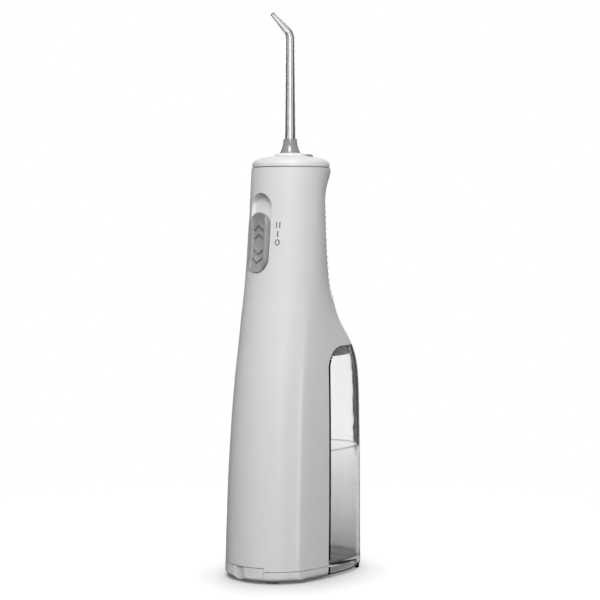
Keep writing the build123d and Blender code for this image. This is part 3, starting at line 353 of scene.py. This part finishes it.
def on_front(x, z):
    """The point of the handle's front at x and z, and the normal there."""
    spot, normal, _, _ = housing_shape.ray_cast(Vector((x, AHEAD_OF_HANDLE, z)), Vector((0, 1, 0)))
    if normal.y > 0:
        normal = -normal
    return spot, normal


def printed(name, rows, closed):
    """A thin skin on the handle's front. rows are lists of (x, z), one beside the other."""
    points = []
    for row in rows:
        for x, z in row:
            spot, normal = on_front(x, z)
            points.append((spot + normal * MARK_RAISE, spot - normal * MARK_SINK))
    across = len(rows[0])
    top = [pair[0] for pair in points]
    under = [pair[1] for pair in points]
    count = len(points)
    faces = []
    last = len(rows) if closed else len(rows) - 1
    for i in range(last):
        here = i * across
        there = ((i + 1) % len(rows)) * across
        for j in range(across - 1):
            faces.append((here + j, there + j, there + j + 1, here + j + 1))
            faces.append((count + here + j, count + here + j + 1,
                          count + there + j + 1, count + there + j))
        for j, flip in ((0, False), (across - 1, True)):
            side = (here + j, count + here + j, count + there + j, there + j)
            faces.append(side[::-1] if flip else side)
    if not closed:
        for i, flip in ((0, True), (last, False)):
            for j in range(across - 1):
                start = i * across + j
                side = (start, count + start, count + start + 1, start + 1)
                faces.append(side[::-1] if flip else side)
    mesh = bpy.data.meshes.new(name)
    mesh.from_pydata(top + under, [], faces)
    mesh.validate()
    mesh.update()
    piece = bpy.data.objects.new(name, mesh)
    scene.collection.objects.link(piece)
    paint(piece, print_grey)
    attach(piece, "handle")
    return piece


def bar(name, x, z):
    """An upright stroke centred at x and z."""
    rows = []
    for step in range(BAR_STEPS + 1):
        height = z - MARK_TALL / 2 + MARK_TALL * step / BAR_STEPS
        rows.append([(x - MARK_WIDE / 2, height), (x, height), (x + MARK_WIDE / 2, height)])
    return printed(name, rows, False)


def ring(name, x, z, half_wide, half_tall):
    """An oval stroke centred at x and z."""
    rows = []
    for step in range(RING_STEPS):
        angle = math.tau * step / RING_STEPS
        row = []
        for inward in (0.0, MARK_WIDE / 2, MARK_WIDE):
            row.append((x + (half_wide - inward) * math.cos(angle),
                        z + (half_tall - inward) * math.sin(angle)))
        rows.append(row)
    return printed(name, rows, True)


bar("mark_two_left", MARK_X - TWO_HALF_GAP, MARK_Z["two"])
bar("mark_two_right", MARK_X + TWO_HALF_GAP, MARK_Z["two"])
bar("mark_one", MARK_X, MARK_Z["one"])
ring("mark_zero", MARK_X + ZERO_SHIFT, MARK_Z["zero"], ZERO_HALF_WIDE, ZERO_HALF_TALL)


# ---------------------------------------------------------------- floor, cards and light

def sheet_of(name, wide, tall, place, facing, material):
    """A flat sheet of the studio, centred at place."""
    mesh = bpy.data.meshes.new(name)
    w, t = wide / 2, tall / 2
    mesh.from_pydata([(-w, -t, 0), (w, -t, 0), (w, t, 0), (-w, t, 0)], [], [(0, 1, 2, 3)])
    sheet = bpy.data.objects.new(name, mesh)
    sheet.location = place
    sheet.rotation_euler = Vector(facing).to_track_quat("Z", "Y").to_euler()
    scene.collection.objects.link(sheet)
    paint(sheet, material)
    return sheet


PAPER = 0.25             # share of the floor's tone that the lamps give
CARD_TONE = 0.10
GLOW = (0.12, 0.86)      # the rest, in the corner under the object and out in the open
CORNER = 0.05            # reach of the painted soft shadow where the object stands, in metres
HIDDEN_FULLY = 0.25      # openness at which that shade is at its deepest
OPEN_FROM = (0.12, 0.32) # metres from the axis where the paper turns to even white


def floor_material():
    """White paper: a glow with a painted shadow round the object's foot, and even white farther
    out.
    """
    tree = Tree("floor_paper")
    diffuse = tree.new("ShaderNodeBsdfDiffuse")
    diffuse.inputs["Color"].default_value = (*grey(PAPER), 1.0)
    # Ambient occlusion dims the glow near the object's foot: a painted contact shadow.
    hidden = tree.new("ShaderNodeAmbientOcclusion")
    hidden.inputs["Distance"].default_value = CORNER
    hidden.samples = 8
    glow = tree.new("ShaderNodeEmission")
    tree.link(tree.spread(hidden.outputs["AO"], *GLOW, HIDDEN_FULLY, 1.0), glow.inputs["Strength"])
    lit = tree.new("ShaderNodeAddShader")
    tree.link(diffuse.outputs["BSDF"], lit.inputs[0])
    tree.link(glow.outputs["Emission"], lit.inputs[1])
    white = tree.new("ShaderNodeEmission")
    white.inputs["Strength"].default_value = 1.0
    length = tree.new("ShaderNodeVectorMath", operation="LENGTH")
    tree.link(tree.place(), length.inputs[0])
    far = tree.spread(length.outputs["Value"], 0.0, 1.0, *OPEN_FROM)
    mix = tree.new("ShaderNodeMixShader")
    tree.link(far, mix.inputs["Fac"])
    tree.link(lit.outputs["Shader"], mix.inputs[1])
    tree.link(white.outputs["Emission"], mix.inputs[2])
    tree.link(mix.outputs["Shader"], tree.output.inputs["Surface"])
    return tree.material


def card_material():
    """Dark matt card, which darkens the edges of the clear pieces."""
    tree = Tree("black_card")
    diffuse = tree.new("ShaderNodeBsdfDiffuse")
    diffuse.inputs["Color"].default_value = (*grey(CARD_TONE), 1.0)
    tree.link(diffuse.outputs["BSDF"], tree.output.inputs["Surface"])
    return tree.material


FLOOR_SIZE = 12.0

floor = sheet_of("floor", FLOOR_SIZE, FLOOR_SIZE, (0, 0, 0), (0, 0, 1), floor_material())
floor.visible_diffuse = False
floor.visible_glossy = False

world = bpy.data.worlds.new("world")
scene.world = world
world.use_nodes = True
world.node_tree.nodes["Background"].inputs["Color"].default_value = (1, 1, 1, 1)
world.node_tree.nodes["Background"].inputs["Strength"].default_value = 1.0
world.cycles_visibility.diffuse = False
world.cycles_visibility.glossy = False

CAMERA_TURN = 47.0           # degrees round from the object's front
AIM = Vector((0, 0, 0.13))   # every lamp faces this point


def around(turn, height, distance):
    """A place that far from the axis, turned from the camera's side; + is to its right."""
    angle = math.radians(CAMERA_TURN + turn)
    return Vector((math.sin(angle) * distance, -math.cos(angle) * distance, height))


def lamp(name, turn, height, distance, wide, tall, power):
    """A soft box, in metres and watts, that the camera doesn't see."""
    data = bpy.data.lights.new(name, "AREA")
    data.shape = "RECTANGLE"
    data.size = wide
    data.size_y = tall
    data.energy = power
    light = bpy.data.objects.new(name, data)
    light.location = around(turn, height, distance)
    light.rotation_euler = (AIM - light.location).to_track_quat("-Z", "Y").to_euler()
    light.visible_camera = False
    scene.collection.objects.link(light)
    return light


# Each lamp: name, turn, height, distance, width, height of the box, power.
FRONT_LAMPS = (
    ("key", -8, 1.25, 1.0, 0.7, 0.7, 17.0),
    ("front_fill", 4, 0.3, 1.5, 0.8, 0.8, 9.0),
    ("left_fill", -85, 0.5, 1.4, 0.5, 1.0, 1.6),
    ("right_fill", 85, 0.5, 1.4, 0.5, 1.0, 1.6),
)
BACK_LAMPS = (
    ("back_key", 178, 1.1, 1.3, 0.7, 0.9, 22.0),
    ("back_left", -130, 0.5, 1.3, 0.7, 0.9, 4.0),
    ("back_right", 130, 0.5, 1.3, 0.7, 0.9, 6.0),
)

for front_lamp in FRONT_LAMPS:
    lamp(*front_lamp)

# The lamps behind light the back, and would show as bright squares in the clear pieces.
for back_lamp in BACK_LAMPS:
    behind = lamp(*back_lamp)
    behind.visible_glossy = False
    behind.visible_transmission = False

CARD_TURN = 148
CARD_HEIGHT = 0.2
CARD_DISTANCE = 0.55
CARD_WIDE = 0.35
CARD_TALL = 0.9

black_card = card_material()
for side, turn in (("left", -CARD_TURN), ("right", CARD_TURN)):
    where = around(turn, CARD_HEIGHT, CARD_DISTANCE)
    inward = Vector((0, 0, CARD_HEIGHT)) - where
    card = sheet_of(side + "_card", CARD_WIDE, CARD_TALL, where, inward, black_card)
    card.visible_camera = False
    card.visible_diffuse = False
    card.visible_shadow = False
